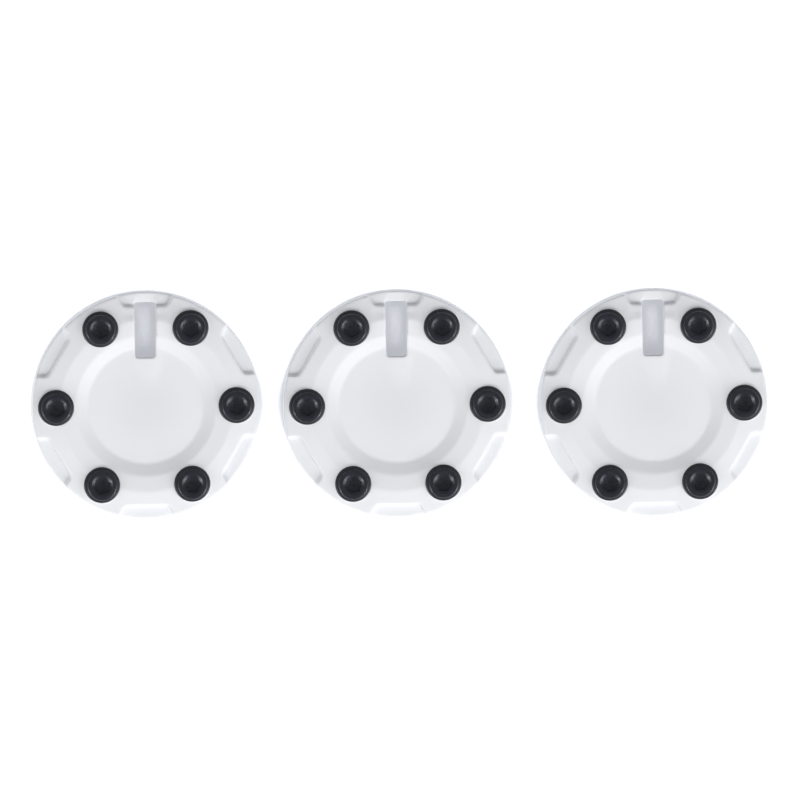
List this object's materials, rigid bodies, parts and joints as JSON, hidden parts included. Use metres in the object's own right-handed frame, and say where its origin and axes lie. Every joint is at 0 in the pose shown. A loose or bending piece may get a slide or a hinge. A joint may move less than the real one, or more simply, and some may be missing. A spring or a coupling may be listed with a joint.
{
  "type": "wheel cover set",
  "caption": "Set of round white wheel covers with rim pockets, a pull slot and black captive socket screws with washers.",
  "frame": {"origin": "middle of the row's footprint, in the plane of the rear rims that the covers stand on", "axes": "+X along the row of covers, +Y towards the slot of each cover, +Z out of their faces"},
  "size_m": [0.5688, 0.176, 0.0245],
  "materials": {
    "cover_white": "satin moulded",
    "bolt_black": "satin black coating",
    "washer_black": "satin black coating",
    "retainer_grey": "matte moulded"
  },
  "bodies": {
    "middle_cover": {"middle_cover_shell": "cover_white"},
    "left_cover": {"left_cover_shell": "cover_white"},
    "right_cover": {"right_cover_shell": "cover_white"},
    "left_carrier_1": {"left_washer_1": "washer_black", "left_retainer_1": "retainer_grey"},
    "left_screw_1": {"left_bolt_1": "bolt_black"},
    "left_carrier_2": {"left_washer_2": "washer_black", "left_retainer_2": "retainer_grey"},
    "left_screw_2": {"left_bolt_2": "bolt_black"},
    "left_carrier_3": {"left_washer_3": "washer_black", "left_retainer_3": "retainer_grey"},
    "left_screw_3": {"left_bolt_3": "bolt_black"},
    "left_carrier_4": {"left_washer_4": "washer_black", "left_retainer_4": "retainer_grey"},
    "left_screw_4": {"left_bolt_4": "bolt_black"},
    "left_carrier_5": {"left_washer_5": "washer_black", "left_retainer_5": "retainer_grey"},
    "left_screw_5": {"left_bolt_5": "bolt_black"},
    "left_carrier_6": {"left_washer_6": "washer_black", "left_retainer_6": "retainer_grey"},
    "left_screw_6": {"left_bolt_6": "bolt_black"},
    "middle_carrier_1": {"middle_washer_1": "washer_black", "middle_retainer_1": "retainer_grey"},
    "middle_screw_1": {"middle_bolt_1": "bolt_black"},
    "middle_carrier_2": {"middle_washer_2": "washer_black", "middle_retainer_2": "retainer_grey"},
    "middle_screw_2": {"middle_bolt_2": "bolt_black"},
    "middle_carrier_3": {"middle_washer_3": "washer_black", "middle_retainer_3": "retainer_grey"},
    "middle_screw_3": {"middle_bolt_3": "bolt_black"},
    "middle_carrier_4": {"middle_washer_4": "washer_black", "middle_retainer_4": "retainer_grey"},
    "middle_screw_4": {"middle_bolt_4": "bolt_black"},
    "middle_carrier_5": {"middle_washer_5": "washer_black", "middle_retainer_5": "retainer_grey"},
    "middle_screw_5": {"middle_bolt_5": "bolt_black"},
    "middle_carrier_6": {"middle_washer_6": "washer_black", "middle_retainer_6": "retainer_grey"},
    "middle_screw_6": {"middle_bolt_6": "bolt_black"},
    "right_carrier_1": {"right_washer_1": "washer_black", "right_retainer_1": "retainer_grey"},
    "right_screw_1": {"right_bolt_1": "bolt_black"},
    "right_carrier_2": {"right_washer_2": "washer_black", "right_retainer_2": "retainer_grey"},
    "right_screw_2": {"right_bolt_2": "bolt_black"},
    "right_carrier_3": {"right_washer_3": "washer_black", "right_retainer_3": "retainer_grey"},
    "right_screw_3": {"right_bolt_3": "bolt_black"},
    "right_carrier_4": {"right_washer_4": "washer_black", "right_retainer_4": "retainer_grey"},
    "right_screw_4": {"right_bolt_4": "bolt_black"},
    "right_carrier_5": {"right_washer_5": "washer_black", "right_retainer_5": "retainer_grey"},
    "right_screw_5": {"right_bolt_5": "bolt_black"},
    "right_carrier_6": {"right_washer_6": "washer_black", "right_retainer_6": "retainer_grey"},
    "right_screw_6": {"right_bolt_6": "bolt_black"}
  },
  "joints": [
    {"name": "left_cover_lift", "type": "slide", "parent": "middle_cover", "child": "left_cover", "axis": [0, 0, 1], "range_m": [0, 0.06]},
    {"name": "right_cover_lift", "type": "slide", "parent": "middle_cover", "child": "right_cover", "axis": [0, 0, 1], "range_m": [0, 0.06]},
    {"name": "left_bolt_1_lift", "type": "slide", "parent": "left_cover", "child": "left_carrier_1", "axis": [0, 0, 1], "range_m": [0, 0.0045]},
    {"name": "left_bolt_1_turn", "type": "hinge", "parent": "left_carrier_1", "child": "left_screw_1", "pos_m": [-0.1266, 0.00079, 0.0174], "axis": [0, 0, 1], "range_deg": [0, 1081]},
    {"name": "left_bolt_2_lift", "type": "slide", "parent": "left_cover", "child": "left_carrier_2", "axis": [0, 0, 1], "range_m": [0, 0.0045]},
    {"name": "left_bolt_2_turn", "type": "hinge", "parent": "left_carrier_2", "child": "left_screw_2", "pos_m": [-0.16221, 0.06088, 0.0174], "axis": [0, 0, 1], "range_deg": [0, 1081]},
    {"name": "left_bolt_3_lift", "type": "slide", "parent": "left_cover", "child": "left_carrier_3", "axis": [0, 0, 1], "range_m": [0, 0.0045]},
    {"name": "left_bolt_3_turn", "type": "hinge", "parent": "left_carrier_3", "child": "left_screw_3", "pos_m": [-0.23206, 0.06009, 0.0174], "axis": [0, 0, 1], "range_deg": [0, 1081]},
    {"name": "left_bolt_4_lift", "type": "slide", "parent": "left_cover", "child": "left_carrier_4", "axis": [0, 0, 1], "range_m": [0, 0.0045]},
    {"name": "left_bolt_4_turn", "type": "hinge", "parent": "left_carrier_4", "child": "left_screw_4", "pos_m": [-0.2663, -0.00079, 0.0174], "axis": [0, 0, 1], "range_deg": [0, 1081]},
    {"name": "left_bolt_5_lift", "type": "slide", "parent": "left_cover", "child": "left_carrier_5", "axis": [0, 0, 1], "range_m": [0, 0.0045]},
    {"name": "left_bolt_5_turn", "type": "hinge", "parent": "left_carrier_5", "child": "left_screw_5", "pos_m": [-0.23069, -0.06088, 0.0174], "axis": [0, 0, 1], "range_deg": [0, 1081]},
    {"name": "left_bolt_6_lift", "type": "slide", "parent": "left_cover", "child": "left_carrier_6", "axis": [0, 0, 1], "range_m": [0, 0.0045]},
    {"name": "left_bolt_6_turn", "type": "hinge", "parent": "left_carrier_6", "child": "left_screw_6", "pos_m": [-0.16084, -0.06009, 0.0174], "axis": [0, 0, 1], "range_deg": [0, 1081]},
    {"name": "middle_bolt_1_lift", "type": "slide", "parent": "middle_cover", "child": "middle_carrier_1", "axis": [0, 0, 1], "range_m": [0, 0.0045]},
    {"name": "middle_bolt_1_turn", "type": "hinge", "parent": "middle_carrier_1", "child": "middle_screw_1", "pos_m": [0.0677, 0.00079, 0.0174], "axis": [0, 0, 1], "range_deg": [0, 1081]},
    {"name": "middle_bolt_2_lift", "type": "slide", "parent": "middle_cover", "child": "middle_carrier_2", "axis": [0, 0, 1], "range_m": [0, 0.0045]},
    {"name": "middle_bolt_2_turn", "type": "hinge", "parent": "middle_carrier_2", "child": "middle_screw_2", "pos_m": [0.03209, 0.06088, 0.0174], "axis": [0, 0, 1], "range_deg": [0, 1081]},
    {"name": "middle_bolt_3_lift", "type": "slide", "parent": "middle_cover", "child": "middle_carrier_3", "axis": [0, 0, 1], "range_m": [0, 0.0045]},
    {"name": "middle_bolt_3_turn", "type": "hinge", "parent": "middle_carrier_3", "child": "middle_screw_3", "pos_m": [-0.03776, 0.06009, 0.0174], "axis": [0, 0, 1], "range_deg": [0, 1081]},
    {"name": "middle_bolt_4_lift", "type": "slide", "parent": "middle_cover", "child": "middle_carrier_4", "axis": [0, 0, 1], "range_m": [0, 0.0045]},
    {"name": "middle_bolt_4_turn", "type": "hinge", "parent": "middle_carrier_4", "child": "middle_screw_4", "pos_m": [-0.072, -0.00079, 0.0174], "axis": [0, 0, 1], "range_deg": [0, 1081]},
    {"name": "middle_bolt_5_lift", "type": "slide", "parent": "middle_cover", "child": "middle_carrier_5", "axis": [0, 0, 1], "range_m": [0, 0.0045]},
    {"name": "middle_bolt_5_turn", "type": "hinge", "parent": "middle_carrier_5", "child": "middle_screw_5", "pos_m": [-0.03639, -0.06088, 0.0174], "axis": [0, 0, 1], "range_deg": [0, 1081]},
    {"name": "middle_bolt_6_lift", "type": "slide", "parent": "middle_cover", "child": "middle_carrier_6", "axis": [0, 0, 1], "range_m": [0, 0.0045]},
    {"name": "middle_bolt_6_turn", "type": "hinge", "parent": "middle_carrier_6", "child": "middle_screw_6", "pos_m": [0.03346, -0.06009, 0.0174], "axis": [0, 0, 1], "range_deg": [0, 1081]},
    {"name": "right_bolt_1_lift", "type": "slide", "parent": "right_cover", "child": "right_carrier_1", "axis": [0, 0, 1], "range_m": [0, 0.0045]},
    {"name": "right_bolt_1_turn", "type": "hinge", "parent": "right_carrier_1", "child": "right_screw_1", "pos_m": [0.2663, 0.00079, 0.0174], "axis": [0, 0, 1], "range_deg": [0, 1081]},
    {"name": "right_bolt_2_lift", "type": "slide", "parent": "right_cover", "child": "right_carrier_2", "axis": [0, 0, 1], "range_m": [0, 0.0045]},
    {"name": "right_bolt_2_turn", "type": "hinge", "parent": "right_carrier_2", "child": "right_screw_2", "pos_m": [0.23069, 0.06088, 0.0174], "axis": [0, 0, 1], "range_deg": [0, 1081]},
    {"name": "right_bolt_3_lift", "type": "slide", "parent": "right_cover", "child": "right_carrier_3", "axis": [0, 0, 1], "range_m": [0, 0.0045]},
    {"name": "right_bolt_3_turn", "type": "hinge", "parent": "right_carrier_3", "child": "right_screw_3", "pos_m": [0.16084, 0.06009, 0.0174], "axis": [0, 0, 1], "range_deg": [0, 1081]},
    {"name": "right_bolt_4_lift", "type": "slide", "parent": "right_cover", "child": "right_carrier_4", "axis": [0, 0, 1], "range_m": [0, 0.0045]},
    {"name": "right_bolt_4_turn", "type": "hinge", "parent": "right_carrier_4", "child": "right_screw_4", "pos_m": [0.1266, -0.00079, 0.0174], "axis": [0, 0, 1], "range_deg": [0, 1081]},
    {"name": "right_bolt_5_lift", "type": "slide", "parent": "right_cover", "child": "right_carrier_5", "axis": [0, 0, 1], "range_m": [0, 0.0045]},
    {"name": "right_bolt_5_turn", "type": "hinge", "parent": "right_carrier_5", "child": "right_screw_5", "pos_m": [0.16221, -0.06088, 0.0174], "axis": [0, 0, 1], "range_deg": [0, 1081]},
    {"name": "right_bolt_6_lift", "type": "slide", "parent": "right_cover", "child": "right_carrier_6", "axis": [0, 0, 1], "range_m": [0, 0.0045]},
    {"name": "right_bolt_6_turn", "type": "hinge", "parent": "right_carrier_6", "child": "right_screw_6", "pos_m": [0.23206, -0.06009, 0.0174], "axis": [0, 0, 1], "range_deg": [0, 1081]}
  ],
  "couplings": [
    {"joint": "left_bolt_1_turn", "follows": "left_bolt_1_lift", "rad_per_m": 4188.8},
    {"joint": "left_bolt_2_turn", "follows": "left_bolt_2_lift", "rad_per_m": 4188.8},
    {"joint": "left_bolt_3_turn", "follows": "left_bolt_3_lift", "rad_per_m": 4188.8},
    {"joint": "left_bolt_4_turn", "follows": "left_bolt_4_lift", "rad_per_m": 4188.8},
    {"joint": "left_bolt_5_turn", "follows": "left_bolt_5_lift", "rad_per_m": 4188.8},
    {"joint": "left_bolt_6_turn", "follows": "left_bolt_6_lift", "rad_per_m": 4188.8},
    {"joint": "middle_bolt_1_turn", "follows": "middle_bolt_1_lift", "rad_per_m": 4188.8},
    {"joint": "middle_bolt_2_turn", "follows": "middle_bolt_2_lift", "rad_per_m": 4188.8},
    {"joint": "middle_bolt_3_turn", "follows": "middle_bolt_3_lift", "rad_per_m": 4188.8},
    {"joint": "middle_bolt_4_turn", "follows": "middle_bolt_4_lift", "rad_per_m": 4188.8},
    {"joint": "middle_bolt_5_turn", "follows": "middle_bolt_5_lift", "rad_per_m": 4188.8},
    {"joint": "middle_bolt_6_turn", "follows": "middle_bolt_6_lift", "rad_per_m": 4188.8},
    {"joint": "right_bolt_1_turn", "follows": "right_bolt_1_lift", "rad_per_m": 4188.8},
    {"joint": "right_bolt_2_turn", "follows": "right_bolt_2_lift", "rad_per_m": 4188.8},
    {"joint": "right_bolt_3_turn", "follows": "right_bolt_3_lift", "rad_per_m": 4188.8},
    {"joint": "right_bolt_4_turn", "follows": "right_bolt_4_lift", "rad_per_m": 4188.8},
    {"joint": "right_bolt_5_turn", "follows": "right_bolt_5_lift", "rad_per_m": 4188.8},
    {"joint": "right_bolt_6_turn", "follows": "right_bolt_6_lift", "rad_per_m": 4188.8}
  ]
}
